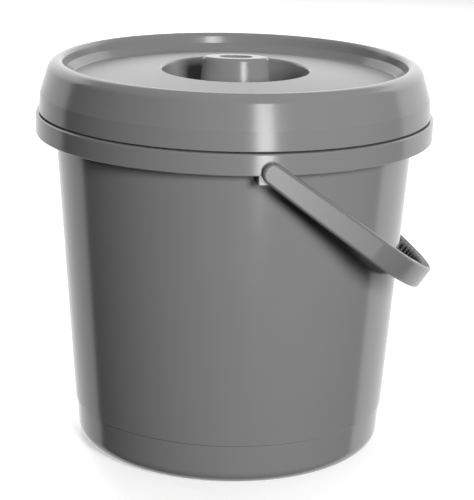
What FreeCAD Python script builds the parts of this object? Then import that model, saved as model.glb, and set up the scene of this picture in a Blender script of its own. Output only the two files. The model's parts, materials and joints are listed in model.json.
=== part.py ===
import FreeCAD, Part
import math
import os

# Lidded wash bucket of about 14 litres, in millimetres.
# Origin: centre of the foot ring, on the floor. +Z is up, the handle's pivots lie on the Y axis,
# and the handle hangs down on the +X side.

# Rim band, the widest round part, which everything else is scaled from
BAND_R = 158.0
BAND_TOP_Z = 270.3
BAND_BOTTOM_Z = 254.0
BAND_WALL = 2.2
BAND_EDGE_R = 1.5
LEDGE_THICKNESS = 2.3

# Bucket wall: one straight taper, with a small step in it above the foot
WALL = 2.4
STEP_Z = 33.5
STEP_R = 126.4
STEP_IN = 1.2
WALL_TAPER = 0.0707
MOUTH_Z = 284.0
FOOT_FILLET = 12.0
FOOT_INNER_R = 104.0
FOOT_RISE = 4.0
FLOOR_TOP_Z = 6.6
INNER_FLOOR_FILLET = 10.0

# Gussets under the ledge
GUSSET_COUNT = 24
GUSSET_THICKNESS = 1.6
GUSSET_BOTTOM_Z = 257.0

# Handle lugs under the band, each a small box with an open back
PIVOT_Z = 256.2
LUG_HALF_WIDTH = 10.2
LUG_BOTTOM_Z = 247.0
LUG_FACE = 3.6
LUG_CHEEK = 2.4
LUG_SHELF = 2.0
PEG_HOLE_R = 4.60

# Lid
LID_WALL = 2.0
LID_SEAM_GAP = 0.9
LID_SKIRT_R = 155.6
LID_SHOULDER_Z = 286.0
LID_SHOULDER_R = 154.4
LID_CREST_Z = 311.0
LID_CREST_R = 139.5
LID_CREST_OUTER_R = 147.0
RIM_FOOT_R = 135.0
RIM_FOOT_Z = 302.9
LID_PLATE_R = 131.0
LID_PLATE_Z = 296.4
WELL_EDGE_R = 58.6
WELL_EDGE_Z = 304.6
WELL_FLOOR_R = 53.5
WELL_FLOOR_Z = 279.5

# Knob, oval, with a dish in its top. It stands in the well, hollow from below.
KNOB_LONG_R = 26.0
KNOB_SHORT_R = 12.5
KNOB_END_DRAFT = 0.08
KNOB_SIDE_DRAFT = 0.2
KNOB_TOP_Z = 314.0
KNOB_EDGE_R = 2.6
KNOB_TURN_DEG = -10.0
DISH_LONG_R = 13.2
DISH_SHORT_R = 7.4
DISH_DEPTH = 3.5

# Underside of the lid
LOCATING_RING_R = 138.4
LOCATING_RING_WALL = 1.8
LOCATING_RING_BOTTOM_Z = 277.0
LID_RIB_COUNT = 12
LID_RIB_THICKNESS = 1.6
LID_RIB_CLEARANCE = 0.3

# Handle: a flat bail with an elliptical crown, deepened into a grip, and arms that narrow smoothly
# to round ends. The grip is a T in section, an outer skin with a web behind it and ribs across it.
HANDLE_WIDTH = 18.8
HANDLE_END_WIDTH = 16.2
HANDLE_SPAN = 163.6
HANDLE_REACH = 185.4
ARM_LENGTH = 97.0
ARM_DEPTH = 4.8
GRIP_DEPTH = 10.6
OUTER_SKIN = 2.6
GRIP_WEB = 2.0
HANDLE_EDGE_R = 2.4
HANDLE_INNER_EDGE_R = 1.2
HANDLE_HANG_DEG = 36.6
GRIP_HALF_TURN_DEG = 60.0
RIB_PITCH = 8.0
RIB_THICKNESS = 1.6
PEG_R = 4.52
PEG_HEAD_R = 6.2
PEG_HEAD_THICKNESS = 2.4
PEG_HEAD_GAP = 0.5
PEG_HEAD_CHAMFER = 1.2

V = FreeCAD.Vector
Z_AXIS = V(0, 0, 1)


def rounded_wire(points, closed=True):
    """A wire in the XZ plane through (r, z) or (r, z, corner radius) points."""
    flat = [V(p[0], 0, p[1]) for p in points]
    radii = [p[2] if len(p) > 2 else 0.0 for p in points]
    count = len(points)
    starts, ends, arcs = [], [], []
    for i, corner in enumerate(flat):
        radius = radii[i]
        if radius == 0.0 or (not closed and i in (0, count - 1)):
            starts.append(corner)
            ends.append(corner)
            arcs.append(None)
            continue
        back = (flat[i - 1] - corner).normalize()
        ahead = (flat[(i + 1) % count] - corner).normalize()
        half = back.getAngle(ahead) / 2
        reach = radius / math.tan(half)
        middle = (back + ahead).normalize()
        centre = corner + middle * (radius / math.sin(half))
        starts.append(corner + back * reach)
        ends.append(corner + ahead * reach)
        arcs.append(centre - middle * radius)
    edges = []
    for i in range(count):
        if arcs[i] is not None:
            edges.append(Part.Arc(starts[i], arcs[i], ends[i]).toShape())
        if i < count - 1 or closed:
            following = (i + 1) % count
            if ends[i].distanceToPoint(starts[following]) > 1e-6:
                edges.append(Part.LineSegment(ends[i], starts[following]).toShape())
    return Part.Wire(edges)


def turned(points):
    """A solid of revolution about Z from a closed (r, z, corner radius) outline."""
    return Part.Face(rounded_wire(points)).revolve(V(0, 0, 0), Z_AXIS, 360)


def wall_r(z):
    """Outer radius of the bucket's wall above the step."""
    return STEP_R + (z - STEP_Z) * WALL_TAPER


def bucket_shell():
    foot_r = STEP_R - STEP_IN - STEP_Z * WALL_TAPER
    inner_floor_r = foot_r + FLOOR_TOP_Z * WALL_TAPER - WALL
    return turned([
        (0, FOOT_RISE),
        (FOOT_INNER_R - FOOT_RISE, FOOT_RISE, 2.0),
        (FOOT_INNER_R, 0, 1.0),
        (foot_r, 0, FOOT_FILLET),
        (STEP_R - STEP_IN, STEP_Z),
        (STEP_R, STEP_Z + STEP_IN / 2, 0.4),
        (wall_r(MOUTH_Z), MOUTH_Z, 1.1),
        (wall_r(MOUTH_Z) - WALL, MOUTH_Z, 1.1),
        (inner_floor_r, FLOOR_TOP_Z, INNER_FLOOR_FILLET),
        (0, FLOOR_TOP_Z),
    ])


def rim_band():
    """The ledge that the lid stands on and the skirt that hangs from it."""
    root_r = wall_r(BAND_TOP_Z) - WALL / 2
    inside_r = BAND_R - BAND_WALL
    under_ledge_z = BAND_TOP_Z - LEDGE_THICKNESS
    return turned([
        (root_r, BAND_TOP_Z),
        (BAND_R, BAND_TOP_Z, BAND_EDGE_R),
        (BAND_R, BAND_BOTTOM_Z, 0.8),
        (inside_r, BAND_BOTTOM_Z, 0.6),
        (inside_r, under_ledge_z, 1.0),
        (root_r, under_ledge_z),
    ])


def gussets():
    """Thin webs between the wall and the band, none of them behind a lug."""
    root_r = wall_r(PIVOT_Z) - WALL / 2
    length = BAND_R - BAND_WALL / 2 - root_r
    webs = []
    for i in range(GUSSET_COUNT):
        angle = 360.0 * (i + 0.5) / GUSSET_COUNT
        web = Part.makeBox(length, GUSSET_THICKNESS, BAND_TOP_Z - 1.0 - GUSSET_BOTTOM_Z)
        web.translate(V(root_r, -GUSSET_THICKNESS / 2, GUSSET_BOTTOM_Z))
        web.rotate(V(0, 0, 0), Z_AXIS, angle)
        webs.append(web)
    return webs


def lug(side):
    """One handle lug, at side -1 or +1 along Y: a face plate, two cheeks and a shelf."""
    top_z = BAND_TOP_Z - LEDGE_THICKNESS / 2
    outside = Part.makeCylinder(BAND_R, top_z - LUG_BOTTOM_Z, V(0, 0, LUG_BOTTOM_Z))
    block = Part.makeBox(2 * LUG_HALF_WIDTH, BAND_R, top_z - LUG_BOTTOM_Z)
    block.translate(V(-LUG_HALF_WIDTH, 0, LUG_BOTTOM_Z))
    inner_cone = Part.makeCone(
        wall_r(LUG_BOTTOM_Z) - WALL / 2, wall_r(top_z) - WALL / 2, top_z - LUG_BOTTOM_Z,
        V(0, 0, LUG_BOTTOM_Z))
    body = block.common(outside).cut(inner_cone)
    edges = [e for e in body.Edges if abs(abs(e.CenterOfMass.x) - LUG_HALF_WIDTH) < 0.01
             and e.BoundBox.ZLength > 10 and e.CenterOfMass.y > BAND_R - 5]
    body = body.makeFillet(1.2, edges)
    pocket_half = LUG_HALF_WIDTH - LUG_CHEEK
    pocket = Part.makeBox(2 * pocket_half, 60, top_z - LUG_BOTTOM_Z - LUG_SHELF)
    pocket.translate(V(-pocket_half, BAND_R - LUG_FACE - 60, LUG_BOTTOM_Z + LUG_SHELF))
    pocket = pocket.cut(inner_cone)
    hole = Part.makeCylinder(PEG_HOLE_R, 30, V(0, BAND_R - 15, PIVOT_Z), V(0, 1, 0))
    body = body.cut(pocket)
    if side < 0:
        body.rotate(V(0, 0, 0), Z_AXIS, 180)
        hole.rotate(V(0, 0, 0), Z_AXIS, 180)
    return body, hole


def bucket():
    lugs = [lug(side) for side in (-1, 1)]
    pieces = [rim_band()] + gussets() + [body for body, _ in lugs]
    whole = bucket_shell().fuse(pieces)
    for _, hole in lugs:
        whole = whole.cut(hole)
    return whole.removeSplitter()


def lid_ribs():
    """Webs under the lid's rim, whose lower edges stand on the bucket's mouth."""
    foot_z = MOUTH_Z + LID_RIB_CLEARANCE
    inner_r = LOCATING_RING_R - 1.0
    outer_r = LID_SHOULDER_R - LID_WALL / 2
    web = Part.Face(rounded_wire([
        (inner_r, foot_z),
        (outer_r, foot_z),
        (outer_r, LID_SHOULDER_Z),
        (LID_CREST_R + 4.5, LID_CREST_Z - 2.4),
        (inner_r, LID_CREST_Z - 0.4),
    ])).extrude(V(0, LID_RIB_THICKNESS, 0))
    web.translate(V(0, -LID_RIB_THICKNESS / 2, 0))
    webs = []
    for i in range(LID_RIB_COUNT):
        copy = web.copy()
        copy.rotate(V(0, 0, 0), Z_AXIS, 360.0 * (i + 0.5) / LID_RIB_COUNT)
        webs.append(copy)
    return webs


def oval_solid(long_r, short_r, top_z, bottom_z):
    """An upright drafted solid between two ellipses. The radii are those of its top."""
    ends = []
    for z in (bottom_z, top_z):
        drop = top_z - z
        ellipse = Part.Ellipse(V(0, 0, z), long_r + drop * KNOB_END_DRAFT, short_r + drop * KNOB_SIDE_DRAFT)
        ends.append(Part.Wire(ellipse.toShape()))
    return Part.makeLoft(ends, True, True)


def knob():
    """The knob's outer solid and what is left out of it: the hollow inside and the dish on top."""
    t = LID_WALL
    body = oval_solid(KNOB_LONG_R, KNOB_SHORT_R, KNOB_TOP_Z, WELL_FLOOR_Z - t / 2)
    top_edge = [e for e in body.Edges if e.BoundBox.ZMin > KNOB_TOP_Z - 0.01]
    body = body.makeFillet(KNOB_EDGE_R, top_edge)
    hollow = oval_solid(KNOB_LONG_R - t, KNOB_SHORT_R - t, KNOB_TOP_Z - t, WELL_FLOOR_Z - 2 * t)
    under_dish = oval_solid(DISH_LONG_R + t, KNOB_SHORT_R, KNOB_TOP_Z, KNOB_TOP_Z - DISH_DEPTH - t)
    dish = Part.makeLoft([
        Part.Wire(Part.Ellipse(V(0, 0, KNOB_TOP_Z - DISH_DEPTH), DISH_LONG_R - 1, DISH_SHORT_R - 1).toShape()),
        Part.Wire(Part.Ellipse(V(0, 0, KNOB_TOP_Z + 1), DISH_LONG_R, DISH_SHORT_R).toShape()),
    ], True, True)
    solids = [body, hollow.cut(under_dish), dish]
    for solid in solids:
        solid.rotate(V(0, 0, 0), Z_AXIS, KNOB_TURN_DEG)
    return solids


def lid():
    """A shell with a domed rim, a slightly domed plate, and a finger well round the knob."""
    skirt_bottom = BAND_TOP_Z + LID_SEAM_GAP
    t = LID_WALL
    top_side = [
        (LID_SKIRT_R, skirt_bottom, 0.6),
        (LID_SHOULDER_R, LID_SHOULDER_Z, 3.0),
        (LID_CREST_OUTER_R, LID_CREST_Z - 1.0, 9.0),
        (LID_CREST_R - 3.0, LID_CREST_Z + 1.0, 4.0),
        (RIM_FOOT_R, RIM_FOOT_Z, 1.5),
        (LID_PLATE_R, LID_PLATE_Z, 1.5),
        (WELL_EDGE_R, WELL_EDGE_Z, 2.4),
        (WELL_FLOOR_R, WELL_FLOOR_Z, 4.0),
        (0, WELL_FLOOR_Z),
    ]
    under_side = [
        (0, WELL_FLOOR_Z - t),
        (WELL_FLOOR_R + t * 0.8, WELL_FLOOR_Z - t, 4.0 + t),
        (WELL_EDGE_R + t, WELL_EDGE_Z - t, 0.6),
        (LID_PLATE_R + t * 0.6, LID_PLATE_Z - t * 1.05, 2.6),
        (RIM_FOOT_R + t * 0.9, RIM_FOOT_Z - t * 0.6, 1.5),
        (LID_CREST_R - 1.2, LID_CREST_Z - t + 0.8, 2.4),
        (LID_CREST_OUTER_R - 1.5, LID_CREST_Z - 1.0 - t, 7.0),
        (LID_SHOULDER_R - t, LID_SHOULDER_Z - 0.6, 3.0),
        (LID_SKIRT_R - t, skirt_bottom, 0.6),
    ]
    shell = turned(top_side + under_side)
    ring_r = LOCATING_RING_R
    ring = turned([
        (ring_r, LOCATING_RING_BOTTOM_Z, 0.6),
        (ring_r, LID_CREST_Z - t),
        (ring_r - LOCATING_RING_WALL, LID_CREST_Z - t),
        (ring_r - LOCATING_RING_WALL, LOCATING_RING_BOTTOM_Z, 0.6),
    ])
    body, hollow, dish = knob()
    return shell.fuse([ring, body] + lid_ribs()).cut([hollow, dish]).removeSplitter()


def bail_face(inset, crown_inset, start):
    """The flat area under the bail's outline: two arms from x = start, then half an ellipse."""
    half_span = HANDLE_SPAN - inset
    rise = HANDLE_REACH - crown_inset - ARM_LENGTH
    crown = Part.Ellipse(V(ARM_LENGTH, half_span, 0), V(ARM_LENGTH + rise, 0, 0), V(ARM_LENGTH, 0, 0))
    left, right = V(ARM_LENGTH, -half_span, 0), V(ARM_LENGTH, half_span, 0)
    first, last = crown.parameter(left), crown.parameter(right)
    if last < first:
        last += 2 * math.pi
    if crown.value((first + last) / 2).x < ARM_LENGTH:
        first, last = last, first + 2 * math.pi
    near_left, near_right = V(start, -half_span, 0), V(start, half_span, 0)
    edges = Part.sortEdges([
        Part.LineSegment(near_left, left).toShape(),
        Part.Edge(crown, first, last),
        Part.LineSegment(right, near_right).toShape(),
        Part.LineSegment(near_right, near_left).toShape(),
    ])[0]
    return Part.Face(Part.Wire(edges))


def bail_prism(inset, crown_inset, start, width):
    face = bail_face(inset, crown_inset, start)
    face.translate(V(0, 0, -width / 2))
    return face.extrude(V(0, 0, width))


def bail_side_view():
    """A solid along Y with the bail's outline from the side: each arm's edges run in one long arc
    from its round end to the full width, where the crown starts."""
    end_r, half = HANDLE_END_WIDTH / 2, HANDLE_WIDTH / 2
    flank_r = (ARM_LENGTH ** 2 + half ** 2 - end_r ** 2) / (2 * (half - end_r))
    centre = V(ARM_LENGTH, 0, half - flank_r)
    touch = centre * (-end_r / centre.Length)
    widest = V(ARM_LENGTH, 0, half)
    middle = centre + (touch + widest - centre * 2).normalize() * flank_r
    far_x = HANDLE_REACH + 1

    def below(point):
        return V(point.x, 0, -point.z)

    outline = Part.Wire([
        Part.Arc(below(touch), V(-end_r, 0, 0), touch).toShape(),
        Part.Arc(touch, middle, widest).toShape(),
        Part.LineSegment(widest, V(far_x, 0, half)).toShape(),
        Part.LineSegment(V(far_x, 0, half), V(far_x, 0, -half)).toShape(),
        Part.LineSegment(V(far_x, 0, -half), below(widest)).toShape(),
        Part.Arc(below(widest), below(middle), below(touch)).toShape(),
    ])
    face = Part.Face(outline)
    face.translate(V(0, -HANDLE_SPAN - 1, 0))
    return face.extrude(V(0, 2 * HANDLE_SPAN + 2, 0))


def crown_point(turn):
    """A point on the crown's outer line, at an angle of the ellipse from the middle of the grip."""
    rise = HANDLE_REACH - ARM_LENGTH
    return V(ARM_LENGTH + rise * math.cos(turn), HANDLE_SPAN * math.sin(turn), 0)


def grip_ribs():
    """Webs across the grip's pockets, evenly spaced along it and square to it."""
    small_turn = 0.001
    turn = 0.0
    travelled = RIB_PITCH / 2
    point = crown_point(turn)
    ribs = []
    while turn < math.radians(GRIP_HALF_TURN_DEG):
        turn += small_turn
        further = crown_point(turn)
        along = further - point
        travelled += along.Length
        point = further
        if travelled < RIB_PITCH:
            continue
        travelled -= RIB_PITCH
        lean = math.degrees(math.atan2(-along.x, along.y))
        for side in (-1, 1):
            rib = Part.makeBox(2 * GRIP_DEPTH, RIB_THICKNESS, HANDLE_WIDTH)
            rib.translate(V(-1.5 * GRIP_DEPTH, -RIB_THICKNESS / 2, -HANDLE_WIDTH / 2))
            rib.rotate(V(0, 0, 0), Z_AXIS, side * lean)
            rib.translate(V(point.x, side * point.y, 0))
            ribs.append(rib)
    return ribs


def grip_pockets():
    """What the moulding leaves out behind the grip's outer skin."""
    room = bail_prism(OUTER_SKIN, OUTER_SKIN, 0, HANDLE_WIDTH + 2)
    start_x = crown_point(math.radians(GRIP_HALF_TURN_DEG)).x
    ends = Part.makeBox(start_x + 1, 2 * HANDLE_SPAN, HANDLE_WIDTH + 4,
                        V(-1, -HANDLE_SPAN, -HANDLE_WIDTH / 2 - 2))
    web = Part.makeBox(HANDLE_REACH, 2 * HANDLE_SPAN, GRIP_WEB, V(0, -HANDLE_SPAN, -GRIP_WEB / 2))
    return room.cut([ends, web] + grip_ribs())


def peg(side):
    """The peg on the inner face of one end, with the head that snaps behind the lug's face."""
    out = V(0, side, 0)
    head_top = BAND_R - LUG_FACE - PEG_HEAD_GAP
    head_tip = head_top - PEG_HEAD_THICKNESS
    root = HANDLE_SPAN - ARM_DEPTH + 1
    shank = Part.makeCylinder(PEG_R, root - head_top + 1, out * (head_top - 1), out)
    head = Part.makeCylinder(PEG_HEAD_R, PEG_HEAD_THICKNESS, out * head_tip, out)
    tip = [e for e in head.Edges if abs(abs(e.BoundBox.Center.y) - head_tip) < 0.01]
    return shank.fuse(head.makeChamfer(PEG_HEAD_CHAMFER, tip))


def handle():
    """The bail, first flat in the XY plane with its pivots on the Y axis, then hung at its angle."""
    bail = bail_prism(0, 0, -HANDLE_END_WIDTH, HANDLE_WIDTH + 2)
    bail = bail.cut(bail_prism(ARM_DEPTH, GRIP_DEPTH, -HANDLE_END_WIDTH - 1, HANDLE_WIDTH + 4))
    bail = bail.common(bail_side_view()).removeSplitter()
    bail = bail.makeFillet(HANDLE_EDGE_R, [e for e in bail.Edges if on_outer_line(e)])
    bail = bail.makeFillet(HANDLE_INNER_EDGE_R, [e for e in bail.Edges if on_inner_crown(e)])
    bail = bail.cut(grip_pockets())
    bail = bail.fuse([peg(-1), peg(1)]).removeSplitter()
    bail.rotate(V(0, 0, 0), V(0, 1, 0), HANDLE_HANG_DEG)
    bail.translate(V(0, 0, PIVOT_Z))
    return bail


def on_outer_line(edge):
    """True for the edges round the outside of the bail and of its ends, which are rounded off."""
    middle = edge.valueAt((edge.FirstParameter + edge.LastParameter) / 2)
    if middle.x <= ARM_LENGTH:
        on_face = abs(abs(middle.y) - HANDLE_SPAN) < 0.01 and edge.BoundBox.YLength < 0.01
        return on_face and edge.BoundBox.XLength > 0.01
    if edge.BoundBox.ZLength > 0.1 or abs(abs(middle.z) - HANDLE_WIDTH / 2) > 0.1:
        return False
    rise = HANDLE_REACH - ARM_LENGTH
    return ((middle.x - ARM_LENGTH) / rise) ** 2 + (middle.y / HANDLE_SPAN) ** 2 > 0.999


def on_inner_crown(edge):
    """True for the two curved edges on the inside of the crown."""
    middle = edge.valueAt((edge.FirstParameter + edge.LastParameter) / 2)
    if edge.BoundBox.ZLength > 0.1 or abs(abs(middle.z) - HANDLE_WIDTH / 2) > 0.1:
        return False
    rise = HANDLE_REACH - GRIP_DEPTH - ARM_LENGTH
    half_span = HANDLE_SPAN - ARM_DEPTH
    off_line = math.hypot((middle.x - ARM_LENGTH) / rise, middle.y / half_span) - 1
    return middle.x > ARM_LENGTH and abs(off_line) < 0.001


def save(name, shape):
    if len(shape.Solids) == 1:
        shape = shape.Solids[0]
    print(name, "valid", shape.isValid(), "solids", len(shape.Solids), "volume", round(shape.Volume))
    shape.exportStep(os.path.join("parts", name + ".step"))


os.makedirs("parts", exist_ok=True)
save("bucket", bucket())
save("lid", lid())
save("handle", handle())
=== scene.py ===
import bmesh
import bpy
import json
import math
from mathutils import Matrix, Vector


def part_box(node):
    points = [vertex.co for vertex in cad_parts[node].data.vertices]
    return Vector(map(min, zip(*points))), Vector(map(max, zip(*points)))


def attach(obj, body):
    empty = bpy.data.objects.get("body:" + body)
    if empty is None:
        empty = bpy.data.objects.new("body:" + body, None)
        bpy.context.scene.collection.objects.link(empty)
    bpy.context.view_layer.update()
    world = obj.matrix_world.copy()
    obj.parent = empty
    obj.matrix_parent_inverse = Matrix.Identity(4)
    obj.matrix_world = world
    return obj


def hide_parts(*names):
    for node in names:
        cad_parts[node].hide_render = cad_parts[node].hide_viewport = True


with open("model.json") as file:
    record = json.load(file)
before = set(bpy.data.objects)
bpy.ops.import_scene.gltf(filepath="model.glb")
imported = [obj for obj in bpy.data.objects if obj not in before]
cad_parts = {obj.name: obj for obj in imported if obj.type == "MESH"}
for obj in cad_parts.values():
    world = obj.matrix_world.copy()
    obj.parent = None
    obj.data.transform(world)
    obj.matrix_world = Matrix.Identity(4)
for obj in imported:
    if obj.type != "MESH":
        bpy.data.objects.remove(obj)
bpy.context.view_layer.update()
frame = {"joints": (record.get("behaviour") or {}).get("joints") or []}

mm = 0.001

# ---------------------------------------------------------------------------------------------
# Bucket. One injection moulding in grey polypropylene: a tapered wall with a small step above
# the foot, a ledge near the mouth with a rim band hanging from it, and a recessed floor.
# ---------------------------------------------------------------------------------------------


def select_none():
    bpy.ops.object.select_all(action="DESELECT")


def open_for_editing(piece):
    """Makes one object active, alone, and opens its mesh with nothing selected."""
    select_none()
    bpy.context.view_layer.objects.active = piece
    piece.select_set(True)
    bpy.ops.object.mode_set(mode="EDIT")
    bpy.ops.mesh.select_all(action="DESELECT")


def close_editing():
    bpy.ops.object.mode_set(mode="OBJECT")


def pick(piece, test, kind):
    """In edit mode, selects the vertices, edges or faces that pass a test, and nothing else."""
    mesh = bmesh.from_edit_mesh(piece.data)
    bpy.context.tool_settings.mesh_select_mode = (kind == "verts", kind == "edges", kind == "faces")
    for group in (mesh.verts, mesh.edges, mesh.faces):
        for part in group:
            part.select = False
    for part in getattr(mesh, kind):
        if test(part):
            part.select_set(True)
    mesh.select_flush_mode()
    bmesh.update_edit_mesh(piece.data)


def on_ring(radius, height):
    """A test for edges that run round the Z axis at a radius and a height."""
    near = 0.02 * mm

    def test(edge):
        return all(abs(math.hypot(v.co.x, v.co.y) - radius) < near and abs(v.co.z - height) < near
                   for v in edge.verts)
    return test


def apply_modifier(piece, kind, **settings):
    select_none()
    bpy.context.view_layer.objects.active = piece
    piece.select_set(True)
    modifier = piece.modifiers.new(kind.title(), kind)
    for name, value in settings.items():
        setattr(modifier, name, value)
    bpy.ops.object.modifier_apply(modifier=modifier.name)


def smooth_with_flat_walls(piece, angle=35):
    """Smooth shading whose normals follow the large faces, so that walls reflect cleanly."""
    select_none()
    bpy.context.view_layer.objects.active = piece
    piece.select_set(True)
    bpy.ops.object.shade_smooth_by_angle(angle=math.radians(angle))
    apply_modifier(piece, "WEIGHTED_NORMAL", mode="FACE_AREA", weight=80, keep_sharp=True)


def turned_piece(name, outline, sides=240):
    """A closed moulding of revolution. The outline runs from the axis, over the outside and back
    to the axis, as (radius, height, rounding) in millimetres."""
    rings = [(r * mm, z * mm, rounding * mm) for r, z, rounding in outline]
    select_none()
    bpy.ops.mesh.primitive_circle_add(vertices=sides, radius=rings[1][0], location=(0, 0, rings[1][1]))
    piece = bpy.context.object
    piece.name = name
    piece.data.transform(piece.matrix_world)
    piece.matrix_world = Matrix.Identity(4)
    bpy.ops.object.mode_set(mode="EDIT")
    bpy.ops.mesh.select_all(action="SELECT")
    radius, height = rings[1][:2]
    for next_radius, next_height, _ in rings[2:-1]:
        bpy.ops.mesh.extrude_region_move()
        growth = next_radius / radius
        bpy.ops.transform.resize(value=(growth, growth, 1), center_override=(0, 0, 0))
        bpy.ops.transform.translate(value=(0, 0, next_height - height))
        radius, height = next_radius, next_height
    bpy.ops.mesh.extrude_region_move()
    bpy.ops.transform.translate(value=(0, 0, rings[-1][1] - height))
    bpy.ops.mesh.merge(type="CENTER")
    pick(piece, on_ring(*rings[1][:2]), "edges")
    bpy.ops.mesh.extrude_region_move()
    bpy.ops.transform.translate(value=(0, 0, rings[0][1] - rings[1][1]))
    bpy.ops.mesh.merge(type="CENTER")
    bpy.ops.mesh.select_all(action="SELECT")
    bpy.ops.mesh.normals_make_consistent(inside=False)
    for i in range(1, len(rings) - 1):
        if rings[i][2] > 0:
            round_corner(piece, rings[i - 1], rings[i], rings[i + 1])
    close_editing()
    return piece


def round_corner(piece, before, corner, after):
    """Bevels one ring of a turned piece to its rounding radius."""
    back = Vector((before[0] - corner[0], before[1] - corner[1]))
    ahead = Vector((after[0] - corner[0], after[1] - corner[1]))
    turn = math.pi - back.angle(ahead)
    pick(piece, on_ring(corner[0], corner[1]), "edges")
    bpy.ops.mesh.bevel(offset_type="OFFSET", offset=corner[2] * math.tan(turn / 2),
                       segments=max(2, round(math.degrees(turn) / 11)), profile=0.5,
                       affect="EDGES", clamp_overlap=False)


def moulded_surface():
    """A node group: the grain, clouds and scuffs of a moulded surface at a point."""
    group = bpy.data.node_groups.new("moulded_surface", "ShaderNodeTree")
    face = group.interface
    for name, value in (("Roughness", 0.2), ("Roughness Change", 0.05), ("Tone Change", 0.04),
                        ("Scuffs", 0.5)):
        face.new_socket(name, in_out="INPUT", socket_type="NodeSocketFloat").default_value = value
    for name in ("Tone", "Roughness", "Height"):
        face.new_socket(name, in_out="OUTPUT", socket_type="NodeSocketFloat")
    nodes, links = group.nodes, group.links
    given, out = nodes.new("NodeGroupInput"), nodes.new("NodeGroupOutput")
    place = nodes.new("ShaderNodeTexCoord").outputs["Object"]

    def noise(scale, detail, stretch=(1, 1, 1), turn=(0, 0, 0)):
        mapping = nodes.new("ShaderNodeMapping")
        mapping.inputs["Scale"].default_value = stretch
        mapping.inputs["Rotation"].default_value = turn
        links.new(place, mapping.inputs["Vector"])
        texture = nodes.new("ShaderNodeTexNoise")
        texture.inputs["Scale"].default_value = scale
        texture.inputs["Detail"].default_value = detail
        links.new(mapping.outputs["Vector"], texture.inputs["Vector"])
        return texture.outputs["Fac"]

    def reckon(operation, first, second, third=None):
        node = nodes.new("ShaderNodeMath")
        node.operation = operation
        for socket, value in zip(node.inputs, (first, second, third)):
            if value is None:
                continue
            if isinstance(value, (int, float)):
                socket.default_value = value
            else:
                links.new(value, socket)
        return node.outputs[0]

    def spread(value, low, high):
        node = nodes.new("ShaderNodeMapRange")
        links.new(value, node.inputs["Value"])
        node.inputs["From Min"].default_value = low
        node.inputs["From Max"].default_value = high
        return node.outputs["Result"]

    grain = noise(1800, 3)
    cloud = noise(22, 3)
    patch = noise(140, 4)
    scuff = None
    for stretch, turn in (((1, 1, 0.04), (0.5, 0.3, 0)), ((0.04, 1, 1), (0, 0.4, 0.7)),
                          ((1, 0.05, 1), (0.9, 0, 0.2))):
        line = spread(noise(900, 2, stretch, turn), 0.68, 0.76)
        scuff = line if scuff is None else reckon("MAXIMUM", scuff, line)
    scuff = reckon("MULTIPLY", scuff, spread(noise(30, 2), 0.5, 0.7))
    scuff = reckon("MULTIPLY", scuff, given.outputs["Scuffs"])
    tone = reckon("MULTIPLY_ADD", reckon("SUBTRACT", cloud, 0.5), given.outputs["Tone Change"], 1.0)
    links.new(reckon("MULTIPLY_ADD", scuff, 0.06, tone), out.inputs["Tone"])
    rough = reckon("MULTIPLY_ADD", reckon("SUBTRACT", patch, 0.5), given.outputs["Roughness Change"],
                   given.outputs["Roughness"])
    links.new(reckon("MULTIPLY_ADD", scuff, 0.12, rough), out.inputs["Roughness"])
    bumps = reckon("MULTIPLY_ADD", cloud, 4.0, grain)
    links.new(reckon("MULTIPLY_ADD", scuff, -0.8, bumps), out.inputs["Height"])
    return group


surface_group = moulded_surface()


def grey_plastic(name, grey, roughness, change, scuffs, grain):
    """A polypropylene finish: its grey, its roughness and how much that wanders, how strongly it is
    scuffed, and the depth of its grain in metres."""
    material = bpy.data.materials.new(name)
    material.use_nodes = True
    nodes, links = material.node_tree.nodes, material.node_tree.links
    shader = nodes["Principled BSDF"]
    surface = nodes.new("ShaderNodeGroup")
    surface.node_tree = surface_group
    for socket, value in (("Roughness", roughness), ("Roughness Change", change), ("Tone Change", 0.06),
                          ("Scuffs", scuffs)):
        surface.inputs[socket].default_value = value
    shade = nodes.new("ShaderNodeVectorMath")
    shade.operation = "SCALE"
    shade.inputs[0].default_value = (grey, grey, grey)
    links.new(surface.outputs["Tone"], shade.inputs["Scale"])
    links.new(shade.outputs["Vector"], shader.inputs["Base Color"])
    links.new(surface.outputs["Roughness"], shader.inputs["Roughness"])
    bump = nodes.new("ShaderNodeBump")
    bump.inputs["Strength"].default_value = 1.0
    bump.inputs["Distance"].default_value = grain
    links.new(surface.outputs["Height"], bump.inputs["Height"])
    links.new(bump.outputs["Normal"], shader.inputs["Normal"])
    shader.inputs["IOR"].default_value = 1.5
    return material


def give_finish(piece, finish):
    """Puts a finish on a piece and smooths its shading."""
    piece.data.materials.clear()
    piece.data.materials.append(finish)
    smooth_with_flat_walls(piece)


bucket_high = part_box("bucket")[1]
band_r = bucket_high.x / mm
mouth_z = bucket_high.z / mm
band_top, band_bottom = 270.3, 254.0
band_wall = 2.2
wall = 2.4
step_r, step_z, step_in = 126.4, 33.5, 1.2
taper = 0.0707
under_ledge = band_top - 2.3


def wall_r(z):
    """Radius of the outside of the wall at a height."""
    return step_r + (z - step_z) * taper


foot_r = step_r - step_in - step_z * taper
bucket = turned_piece("bucket_shell", [
    (0, 6.9, 0),
    (9.0, 6.6, 0),
    (foot_r - 1.9, 6.6, 10.0),
    (wall_r(mouth_z) - wall, mouth_z, 1.15),
    (wall_r(mouth_z), mouth_z, 1.15),
    (wall_r(band_top), band_top, 0.8),
    (band_r, band_top, 1.5),
    (band_r, band_bottom, 0.9),
    (band_r - band_wall, band_bottom, 0.8),
    (band_r - band_wall, under_ledge, 1.0),
    (wall_r(under_ledge), under_ledge, 1.5),
    (step_r, step_z + 0.6, 0.5),
    (step_r - step_in, step_z, 0.4),
    (foot_r, 0, 12.0),
    (104.0, 0, 1.0),
    (100.0, 4.0, 2.0),
    (6.0, 4.0, 0),
    (0, 3.4, 0),
])

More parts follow.
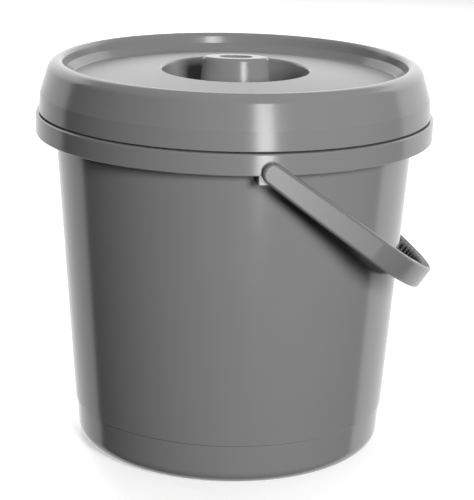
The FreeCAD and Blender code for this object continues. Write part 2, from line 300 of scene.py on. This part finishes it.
wall_finish = grey_plastic("bucket_plastic", 0.2, 0.16, 0.06, 0.6, 0.000004)
give_finish(bucket, wall_finish)
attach(bucket, "bucket_body")
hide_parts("bucket")

# ---------------------------------------------------------------------------------------------
# Gussets. Thin webs of the same moulding that stiffen the ledge, evenly spaced round the bucket
# between the wall and the band.
# ---------------------------------------------------------------------------------------------
gusset_count = 24
gusset_thickness = 1.6
gusset_bottom, gusset_top = 257.0, band_top - 1.0
gusset_rounding = 0.35
root_r = wall_r(gusset_bottom) - wall / 2
gusset_length = band_r - band_wall / 2 - root_r
gusset_height = gusset_top - gusset_bottom


def is_gusset_foot(edge):
    """True for the two edges that run outwards along a gusset's underside."""
    start, end = (v.co for v in edge.verts)
    level = abs(start.z - end.z) < 1e-6 and start.z < (gusset_bottom + 1) * mm
    return level and abs(start.x - end.x) > mm


select_none()
bpy.ops.mesh.primitive_cube_add(size=1, location=(0, 0, 0))
gussets = bpy.context.object
gussets.name = "bucket_gussets"
bpy.ops.object.mode_set(mode="EDIT")
bpy.ops.transform.resize(value=(gusset_length * mm, gusset_thickness * mm, gusset_height * mm))
bpy.ops.transform.translate(value=((root_r + gusset_length / 2) * mm, 0,
                                   (gusset_bottom + gusset_height / 2) * mm))
pick(gussets, is_gusset_foot, "edges")
bpy.ops.mesh.bevel(offset=gusset_rounding * mm, segments=2, affect="EDGES")
bpy.ops.mesh.select_all(action="SELECT")
bpy.ops.transform.rotate(value=-math.pi / gusset_count, orient_axis="Z", center_override=(0, 0, 0))
for _ in range(gusset_count - 1):
    bpy.ops.mesh.duplicate()
    bpy.ops.transform.rotate(value=-math.tau / gusset_count, orient_axis="Z", center_override=(0, 0, 0))
close_editing()

give_finish(gussets, wall_finish)
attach(gussets, "bucket_body")

# ---------------------------------------------------------------------------------------------
# Handle lugs. Two boxes under the band, part of the same moulding, open at the back, with a
# round hole through the face for the handle's peg.
# ---------------------------------------------------------------------------------------------
pivot_z = frame["joints"][0]["pos_m"][2] / mm
lug_half_width, lug_bottom, lug_face = 10.2, 247.0, 3.6
lug_cheek, lug_shelf, peg_hole_r = 2.4, 2.0, 4.6
lug_root, past_the_band = 139.0, 170.0
lug_side_rounding, lug_foot_rounding = 1.3, 0.8


def cutter(build, size, place, turn=(0, 0, 0)):
    """A plain solid used only to cut with, of a size and at a place in millimetres."""
    select_none()
    build(location=[c * mm for c in place], rotation=turn, **size)
    bpy.ops.object.transform_apply(location=True, rotation=True, scale=True)
    return bpy.context.object


def block(low, high):
    """A box between two corners in millimetres."""
    centre = [(a + b) / 2 for a, b in zip(low, high)]
    select_none()
    bpy.ops.mesh.primitive_cube_add(size=1, location=[c * mm for c in centre])
    solid = bpy.context.object
    solid.scale = [(b - a) * mm for a, b in zip(low, high)]
    bpy.ops.object.transform_apply(location=True, rotation=True, scale=True)
    return solid


def combine(piece, tool, operation):
    apply_modifier(piece, "BOOLEAN", operation=operation, object=tool, solver="EXACT")
    bpy.data.objects.remove(tool)


for side, where in ((-1, "near"), (1, "far")):
    lug = block((-lug_half_width, lug_root, lug_bottom),
                (lug_half_width, past_the_band, band_top - 1.2))
    lug.name = "bucket_lug_" + where
    # the lug's face is a hair inside the band's, so that the two never share a surface
    rim = cutter(bpy.ops.mesh.primitive_cylinder_add,
                 {"vertices": 720, "radius": (band_r - 0.04) * mm, "depth": 60 * mm}, (0, 0, pivot_z))
    combine(lug, rim, "INTERSECT")
    open_for_editing(lug)
    pick(lug, lambda e: all(abs(abs(v.co.x) / mm - lug_half_width) < 0.01 and v.co.y > 150 * mm
                            for v in e.verts)
         and abs(e.verts[0].co.z - e.verts[1].co.z) > 5 * mm, "edges")
    bpy.ops.mesh.bevel(offset=lug_side_rounding * mm, segments=5, affect="EDGES")
    pick(lug, lambda e: all(abs(v.co.z / mm - lug_bottom) < 0.01 for v in e.verts)
         and len(e.link_faces) == 2 and e.calc_face_angle(0) > 1, "edges")
    bpy.ops.mesh.bevel(offset=lug_foot_rounding * mm, segments=4, affect="EDGES")
    close_editing()
    pocket_half = lug_half_width - lug_cheek
    combine(lug, block((-pocket_half, 130, lug_bottom + lug_shelf),
                       (pocket_half, band_r - lug_face, band_top - 2.4)), "DIFFERENCE")
    hole = cutter(bpy.ops.mesh.primitive_cylinder_add,
                  {"vertices": 64, "radius": peg_hole_r * mm, "depth": 12 * mm},
                  (0, band_r - lug_face / 2, pivot_z), (math.pi / 2, 0, 0))
    combine(lug, hole, "DIFFERENCE")
    # the two bevels leave doubled points where they meet, which are merged
    open_for_editing(lug)
    bpy.ops.mesh.select_all(action="SELECT")
    bpy.ops.mesh.remove_doubles(threshold=2e-6)
    bpy.ops.mesh.dissolve_degenerate(threshold=2e-6)
    bpy.ops.mesh.select_all(action="SELECT")
    if side < 0:
        bpy.ops.transform.rotate(value=math.pi, orient_axis="Z", center_override=(0, 0, 0))
    close_editing()
    give_finish(lug, wall_finish)
    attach(lug, "bucket_body")

# ---------------------------------------------------------------------------------------------
# Lid. One moulding in the same plastic: a skirt that leans inwards, a rounded crest, a sunken
# plate, and an oval knob, hollow from below, in a finger well. A ring underneath centres it in
# the bucket's mouth.
# ---------------------------------------------------------------------------------------------
lid_low, lid_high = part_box("lid")
skirt_r = lid_high.x / mm
seam_z = lid_low.z / mm
knob_top = lid_high.z / mm
knob_long_r, knob_short_r, dish_depth = 26.0, 12.5, 3.5
knob_turn = math.radians(10)
end_draft, side_draft = 0.08, 0.2
plate_inner_r, plate_r = 60.0, 131.0
lid = turned_piece("lid_shell", [
    (0, knob_top - dish_depth - 0.2, 0),
    (2.5, knob_top - dish_depth, 0),
    (knob_long_r * 0.47, knob_top - dish_depth, 1.4),
    (knob_long_r * 0.51, knob_top, 0.8),
    (knob_long_r, knob_top, 2.8),
    (knob_long_r + 2.8, 279.5, 3.0),
    (53.5, 279.5, 4.0),
    (58.6, 304.6, 2.4),
    (plate_r, 296.4, 1.5),
    (135.0, 302.9, 1.5),
    (136.5, 312.0, 4.0),
    (147.0, 310.0, 9.0),
    (154.4, 286.0, 2.0),
    (skirt_r, seam_z, 0.7),
    (skirt_r - 2.0, seam_z, 0.6),
    (152.4, 285.4, 3.0),
    (145.5, 308.0, 7.0),
    (138.4, 309.6, 0.8),
    (138.4, 277.0, 0.6),
    (136.6, 277.0, 0.6),
    (136.6, 301.2, 0.8),
    (132.2, 294.3, 2.6),
    (60.6, 302.6, 0.6),
    (55.1, 277.5, 6.0),
    (knob_long_r + 0.8, 277.5, 1.0),
    (knob_long_r - 2.0, knob_top - 2.0, 1.2),
    (knob_long_r * 0.6, knob_top - 2.0, 0.8),
    (knob_long_r * 0.56, knob_top - dish_depth - 2.0, 1.0),
    (2.0, knob_top - dish_depth - 2.0, 0),
    (0, knob_top - dish_depth - 2.0, 0),
])


def in_knob(vert):
    """True for a vertex of the knob, which stands clear of the well's wall."""
    return math.hypot(vert.co.x, vert.co.y) < (knob_long_r + 8) * mm


# the knob's rings are pressed into ovals, less so lower down because its long sides lean back,
# and the knob is turned a little from the line across the pivots
open_for_editing(lid)
knob_rings = {round(v.co.z / mm, 3) for v in lid.data.vertices if in_knob(v)}
for z in knob_rings:
    drop = knob_top - z
    pick(lid, lambda v: in_knob(v) and abs(v.co.z / mm - z) < 0.0006, "verts")
    press = (knob_short_r + drop * side_draft) / (knob_long_r + drop * end_draft)
    bpy.ops.transform.resize(value=(1, press, 1), center_override=(0, 0, 0))
pick(lid, in_knob, "verts")
bpy.ops.transform.rotate(value=knob_turn, orient_axis="Z", center_override=(0, 0, 0))
close_editing()

lid_finish = grey_plastic("lid_plastic", 0.2, 0.18, 0.06, 0.6, 0.000004)
# the plate's finish has a lighter grey than the lid's: painted light on the top plate
plate_finish_painted_light = grey_plastic("lid_plate_plastic_painted_light", 0.24, 0.38, 0.05, 0.6, 0.00001)
give_finish(lid, lid_finish)
# the top plate is spark-textured in the mould, so it is satin where the rest is glossy; its grey is
# lighter than the lid's, which is painted light on the upward-facing plate
lid.data.materials.append(plate_finish_painted_light)
open_for_editing(lid)
pick(lid, lambda f: f.normal.z > 0.97
     and plate_inner_r < math.hypot(*f.calc_center_median().xy) / mm < plate_r, "faces")
lid.active_material_index = 1
bpy.ops.object.material_slot_assign()
close_editing()
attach(lid, "lid_body")
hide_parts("lid")

# ---------------------------------------------------------------------------------------------
# Lid ribs. Webs of the same moulding under the lid's rim, whose lower edges stand on the
# bucket's mouth.
# ---------------------------------------------------------------------------------------------
lid_rib_count = 12
rib_length, rib_thickness, rib_height = 15.4, 1.6, 24.4
rib_r, rib_lean, rib_gap = 145.2, 8.6, 0.3


def is_rib_shoulder(edge):
    """True for a rib's top edge on the side of the lid's skirt, seen before the ribs are turned."""
    start, end = (v.co for v in edge.verts)
    return abs(start.y - end.y) > mm and start.x > 150 * mm and start.z > 300 * mm


select_none()
bpy.ops.mesh.primitive_cube_add(size=1, location=(0, 0, 0))
lid_ribs = bpy.context.object
lid_ribs.name = "lid_ribs"
bpy.ops.object.mode_set(mode="EDIT")
bpy.ops.transform.resize(value=(rib_length * mm, rib_thickness * mm, rib_height * mm))
bpy.ops.transform.translate(value=(rib_r * mm, 0, (mouth_z + rib_gap + rib_height / 2) * mm))
pick(lid_ribs, is_rib_shoulder, "edges")
bpy.ops.transform.translate(value=(-rib_lean * mm, 0, 0))
bpy.ops.mesh.select_all(action="SELECT")
bpy.ops.transform.rotate(value=-math.pi / lid_rib_count, orient_axis="Z", center_override=(0, 0, 0))
for _ in range(lid_rib_count - 1):
    bpy.ops.mesh.duplicate()
    bpy.ops.transform.rotate(value=-math.tau / lid_rib_count, orient_axis="Z", center_override=(0, 0, 0))
close_editing()

give_finish(lid_ribs, lid_finish)
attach(lid_ribs, "lid_body")

# ---------------------------------------------------------------------------------------------
# Handle. A flat bail in the same plastic. Its arms widen from round ends to an elliptical crown,
# where the strap becomes a T-shaped grip, an outer skin with a web behind it and ribs across.
# ---------------------------------------------------------------------------------------------
span, reach, arm = 163.6, 185.4, 97.0
bail_width, end_width = 18.8, 16.2
arm_depth, grip_depth = 4.8, 10.6
outer_skin = 2.6
outer_rounding, inner_rounding = 2.4, 1.2
hang = math.radians(36.6)
crown_sides, end_steps, flank_steps = 300, 12, 12


def bail_line(inset, crown_inset):
    """Adds one line of the bail to the mesh being edited: half an ellipse about the arms' ends."""
    bpy.ops.mesh.select_all(action="DESELECT")
    bpy.ops.mesh.primitive_circle_add(vertices=2 * crown_sides, radius=1, location=(0, 0, 0))
    rise = reach - crown_inset - arm
    bpy.ops.transform.resize(value=(rise * mm, (span - inset) * mm, 1), center_override=(0, 0, 0))
    bpy.ops.mesh.bisect(plane_co=(0, 0, 0), plane_no=(1, 0, 0), clear_inner=True, threshold=1e-7)


def start_mesh(name):
    """Opens a new empty mesh for editing."""
    select_none()
    bpy.ops.mesh.primitive_circle_add(vertices=3, radius=1)
    piece = bpy.context.object
    piece.name = name
    bpy.ops.object.mode_set(mode="EDIT")
    bpy.ops.mesh.select_all(action="SELECT")
    bpy.ops.mesh.delete(type="VERT")
    return piece


def raise_strip(low, high):
    """Moves the flat strip being edited to one height and draws it up to another."""
    bpy.ops.mesh.select_all(action="SELECT")
    bpy.ops.transform.translate(value=(0, 0, low * mm))
    bpy.ops.mesh.extrude_region_move()
    bpy.ops.transform.translate(value=(0, 0, (high - low) * mm))
    bpy.ops.mesh.select_all(action="SELECT")
    bpy.ops.mesh.normals_make_consistent(inside=False)


handle = start_mesh("handle_bail")
bail_line(0, 0)
bail_line(arm_depth, grip_depth)
bpy.ops.mesh.select_all(action="SELECT")
bpy.ops.mesh.bridge_edge_loops()
# the arms: the free ends of the strip are drawn out to the tips of the round ends
end_r, half_width = end_width / 2, bail_width / 2
pick(handle, lambda e: all(abs(v.co.x) < 1e-6 for v in e.verts), "edges")
bpy.ops.mesh.extrude_region_move()
bpy.ops.transform.translate(value=(-(arm + end_r) * mm, 0, 0))
bpy.ops.mesh.select_all(action="SELECT")
bpy.ops.transform.translate(value=(arm * mm, 0, 0))
raise_strip(-half_width, half_width)
# seen from the side, each arm narrows along one long arc that runs into its round end
flank_r = (arm ** 2 + half_width ** 2 - end_r ** 2) / (2 * (half_width - end_r))
arc_start = -end_r * arm / (flank_r - end_r)
stations = [-end_r * math.cos(math.radians(90 * step / end_steps)) for step in range(end_steps)]
stations += [arc_start] + [arm * step / flank_steps for step in range(1, flank_steps)]
for x in stations[1:]:
    bpy.ops.mesh.select_all(action="SELECT")
    bpy.ops.mesh.bisect(plane_co=(x * mm, 0, 0), plane_no=(1, 0, 0), threshold=1e-6)
for x in stations:
    if x < arc_start:
        narrow = math.sqrt(end_r ** 2 - x ** 2)
    else:
        narrow = half_width - flank_r + math.sqrt(flank_r ** 2 - (arm - x) ** 2)
    pick(handle, lambda v: abs(v.co.x - x * mm) < 2e-6, "verts")
    bpy.ops.transform.resize(value=(1, 1, narrow / half_width), center_override=(0, 0, 0))
bpy.ops.mesh.select_all(action="SELECT")
bpy.ops.mesh.remove_doubles(threshold=1e-6)
pick(handle, lambda f: abs(f.normal.y) > 0.9999 and f.calc_center_median().x < arm * mm, "faces")
bpy.ops.mesh.dissolve_faces()
bpy.ops.mesh.select_all(action="SELECT")
bpy.ops.mesh.normals_make_consistent(inside=False)


def on_line(vert, inset, crown_inset):
    """True for a vertex that lies on one of the bail's lines, seen from above."""
    x, y = vert.co.x / mm, abs(vert.co.y) / mm
    if x <= arm + 0.01:
        return abs(y - span + inset) < 0.02
    rise = reach - crown_inset - arm
    return abs(math.hypot((x - arm) / rise, y / (span - inset)) - 1) < 0.001


def is_corner(edge):
    return len(edge.link_faces) == 2 and edge.calc_face_angle(0) > 1.0


# the strap's rounded outer edges and the grip's lightly rounded inner ones
pick(handle, lambda e: is_corner(e) and all(on_line(v, 0, 0) for v in e.verts), "edges")
bpy.ops.mesh.bevel(offset=outer_rounding * mm, segments=7, affect="EDGES")
pick(handle, lambda e: is_corner(e) and all(on_line(v, arm_depth, grip_depth) for v in e.verts)
     and all(v.co.x > arm * mm for v in e.verts), "edges")
bpy.ops.mesh.bevel(offset=inner_rounding * mm, segments=4, affect="EDGES")
close_editing()

# the grip's pockets, cut from both faces down to the web: every sixth step is left as a rib
step_deg = 180 / crown_sides
grip_half_turn, web_half = 60, 1.0
rib_every, rib_place = 6, 3
pocket_overrun, face_overrun = 2.0, 1.0


def is_rib_or_arm(face):
    """True for a step of the crown, by the ellipse's angle, that isn't part of a pocket."""
    place = face.calc_center_median() / mm
    inset = (outer_skin + arm_depth + pocket_overrun) / 2
    crown_inset = (outer_skin + grip_depth + pocket_overrun) / 2
    across, ahead = place.y / (span - inset), place.x / (reach - crown_inset - arm)
    turn = abs(math.degrees(math.atan2(across, ahead)))
    return turn > grip_half_turn or int(turn / step_deg) % rib_every == rib_place


for side in (-1, 1):
    pockets = start_mesh("pockets")
    bail_line(outer_skin, outer_skin)
    bail_line(arm_depth + pocket_overrun, grip_depth + pocket_overrun)
    bpy.ops.mesh.select_all(action="SELECT")
    bpy.ops.mesh.bridge_edge_loops()
    pick(pockets, is_rib_or_arm, "faces")
    bpy.ops.mesh.delete(type="FACE")
    bpy.ops.mesh.select_all(action="SELECT")
    bpy.ops.transform.translate(value=(arm * mm, 0, 0))
    raise_strip(*sorted((side * web_half, side * (half_width + face_overrun))))
    close_editing()
    combine(handle, pockets, "DIFFERENCE")
open_for_editing(handle)
bpy.ops.mesh.select_all(action="SELECT")
bpy.ops.transform.rotate(value=-hang, orient_axis="Y", center_override=(0, 0, 0))
bpy.ops.transform.translate(value=(0, 0, pivot_z * mm))
close_editing()

# the handle is the bucket's plastic, but its grey is set darker: painted shade on the bail and its pegs
handle_finish_painted_shade = grey_plastic("handle_plastic_painted_shade", 0.16, 0.26, 0.08, 1.0, 0.000006)
give_finish(handle, handle_finish_painted_shade)
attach(handle, "handle_body")
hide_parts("handle")

# ---------------------------------------------------------------------------------------------
# Pegs. Part of the handle's moulding: a shank through the lug's face, with a chamfered head
# that snaps in behind it.
# ---------------------------------------------------------------------------------------------
peg_r, head_r, head_thickness, head_gap = 4.52, 6.2, 2.4, 0.5
head_chamfer, dimple_wall, dimple_depth = 0.8, 1.6, 0.5
head_top = band_r - lug_face - head_gap
root = span - arm_depth + 1
for side, where in ((-1, "near"), (1, "far")):
    select_none()
    bpy.ops.mesh.primitive_cylinder_add(vertices=64, radius=peg_r * mm, depth=(root - head_top) * mm,
                                        location=(0, 0, 0), rotation=(math.pi / 2, 0, 0))
    bpy.ops.object.transform_apply(location=True, rotation=True, scale=True)
    peg = bpy.context.object
    peg.name = "handle_peg_" + where
    bpy.ops.object.mode_set(mode="EDIT")
    pick(peg, lambda f: f.normal.y < -0.9, "faces")
    for growth, length in ((head_r / peg_r, 0), (1, head_thickness / 2),
                           (head_chamfer, head_thickness / 2)):
        bpy.ops.mesh.extrude_region_move()
        bpy.ops.transform.resize(value=(growth, 1, growth), center_override=(0, 0, 0))
        bpy.ops.transform.translate(value=(0, -length * mm, 0))
    bpy.ops.mesh.inset(thickness=dimple_wall * mm)
    bpy.ops.transform.translate(value=(0, dimple_depth * mm, 0))
    bpy.ops.mesh.select_all(action="SELECT")
    if side < 0:
        bpy.ops.transform.rotate(value=math.pi, orient_axis="Z", center_override=(0, 0, 0))
    bpy.ops.transform.translate(value=(0, side * (root + head_top) / 2 * mm, pivot_z * mm))
    close_editing()
    give_finish(peg, handle_finish_painted_shade)
    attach(peg, "handle_body")

# ---------------------------------------------------------------------------------------------
# Studio. A plain pale floor, a white backdrop round the far side, a tall strip light that only
# reflections see, and soft lights from the front right, from above and from behind.
# ---------------------------------------------------------------------------------------------
view_turn = math.radians(10.3)
select_none()
bpy.ops.mesh.primitive_plane_add(size=14, location=(0, 0, -0.0002))
floor = bpy.context.object
floor.name = "floor"
pale = bpy.data.materials.new("pale_floor")
pale.use_nodes = True
pale_shader = pale.node_tree.nodes["Principled BSDF"]
pale_shader.inputs["Base Color"].default_value = (0.85, 0.85, 0.85, 1)
pale_shader.inputs["Roughness"].default_value = 0.9
pale_shader.inputs["Emission Color"].default_value = (1, 1, 1, 1)
pale_shader.inputs["Emission Strength"].default_value = 0.45
floor.data.materials.append(pale)
floor.visible_glossy = False
floor.visible_diffuse = False
floor.visible_shadow = False

world = bpy.data.worlds.new("studio")
bpy.context.scene.world = world
world.use_nodes = True
bpy.context.scene.view_settings.view_transform = "Standard"
sky_nodes, sky_links = world.node_tree.nodes, world.node_tree.links


def sky(kind, settings, **wires):
    """Adds one node to the backdrop, sets its values and joins its inputs."""
    node = sky_nodes.new(kind)
    for name, value in settings.items():
        if name in node.inputs:
            node.inputs[name].default_value = value
        else:
            setattr(node, name, value)
    for name, source in wires.items():
        sky_links.new(source, node.inputs[name.replace("_", " ")])
    return node


way = sky("ShaderNodeTexCoord", {}).outputs["Generated"]
flat = sky("ShaderNodeVectorMath", {"operation": "MULTIPLY"})
flat.inputs[1].default_value = (1, 1, 0)
sky_links.new(way, flat.inputs[0])
level_way = sky("ShaderNodeVectorMath", {"operation": "NORMALIZE"})
sky_links.new(flat.outputs["Vector"], level_way.inputs[0])
aim = sky("ShaderNodeVectorMath", {"operation": "DOT_PRODUCT"})
backdrop_turn = view_turn + math.radians(1.1)
backdrop_half_width = math.radians(66.5)
half_blur = 0.015
aim.inputs[1].default_value = (math.sin(backdrop_turn), math.cos(backdrop_turn), 0)
sky_links.new(level_way.outputs["Vector"], aim.inputs[0])
side_edge = sky("ShaderNodeMapRange", {"From Min": math.cos(backdrop_half_width + half_blur),
                                       "From Max": math.cos(backdrop_half_width - half_blur)},
                Value=aim.outputs["Value"]).outputs["Result"]
height = sky("ShaderNodeSeparateXYZ", {}, Vector=way).outputs["Z"]
glow = sky("ShaderNodeMapRange", {"From Min": -0.1, "From Max": 0.5, "To Min": 1.25, "To Max": 2.1},
           Value=height).outputs["Result"]
top_edge = sky("ShaderNodeMapRange", {"From Min": 0.66, "From Max": 0.54, "To Min": 0.04},
               Value=height).outputs["Result"]
bright = sky("ShaderNodeMath", {"operation": "MULTIPLY"})
sky_links.new(glow, bright.inputs[0])
sky_links.new(side_edge, bright.inputs[1])
shaped = sky("ShaderNodeMath", {"operation": "MULTIPLY_ADD"})
sky_links.new(bright.outputs[0], shaped.inputs[0])
sky_links.new(top_edge, shaped.inputs[1])
shaped.inputs[2].default_value = 0.02
backdrop = sky_nodes["Background"]
backdrop.inputs["Color"].default_value = (1, 1, 1, 1)
sky_links.new(shaped.outputs[0], backdrop.inputs["Strength"])


def soft_box(name, turn, rise, distance, width, height, power, seen=True):
    """An area light that faces the bucket, turned to the right from the camera's side of it. Its
    reflection shows only where seen is true."""
    light = bpy.data.lights.new(name, "AREA")
    light.shape = "RECTANGLE"
    light.size, light.size_y = width, height
    light.energy = power
    lamp = bpy.data.objects.new(name, light)
    bpy.context.scene.collection.objects.link(lamp)
    around, up = math.radians(turn) - view_turn, math.radians(rise)
    middle = Vector((0, 0, 0.15))
    lamp.location = Vector((math.sin(around) * math.cos(up), -math.cos(around) * math.cos(up),
                            math.sin(up))) * distance + middle
    lamp.rotation_euler = (middle - lamp.location).to_track_quat("-Z", "Y").to_euler()
    lamp.visible_camera = False
    lamp.visible_glossy = seen
    return lamp


soft_box("strip", 17, 6, 2.2, 0.36, 1.8, 26).visible_diffuse = False
soft_box("front", 22, 18, 2.2, 0.6, 0.6, 55, seen=False)
soft_box("overhead", 190, 70, 2.0, 1.0, 1.0, 20, seen=False)
soft_box("back", 195, 22, 2.4, 1.2, 1.2, 26, seen=False)

# ---------------------------------------------------------------------------------------------
# Camera. A long lens about a metre and a half away and sixteen degrees above level, standing ten
# degrees to the left of the near pivot, so that the hanging handle shows at the right.
# ---------------------------------------------------------------------------------------------
lens_mm, sensor_mm = 129.6, 36.0
camera_distance = 9.309 * band_r * mm
aim_height = 0.9 * band_r * mm
camera_rise = math.radians(16.17)
camera_data = bpy.data.cameras.new("camera")
camera_data.lens, camera_data.sensor_width = lens_mm, sensor_mm
camera = bpy.data.objects.new("camera", camera_data)
bpy.context.scene.collection.objects.link(camera)
level = camera_distance * math.cos(camera_rise)
camera.location = (-level * math.sin(view_turn), -level * math.cos(view_turn),
                   aim_height + camera_distance * math.sin(camera_rise))
dip, swing, roll = math.radians(15.69), math.radians(0.176), math.radians(1.306)
camera.rotation_euler = (Matrix.Rotation(-view_turn, 4, "Z") @ Matrix.Rotation(math.pi / 2 - dip, 4, "X")
                         @ Matrix.Rotation(-swing, 4, "Y") @ Matrix.Rotation(roll, 4, "Z")).to_euler()
bpy.context.scene.camera = camera
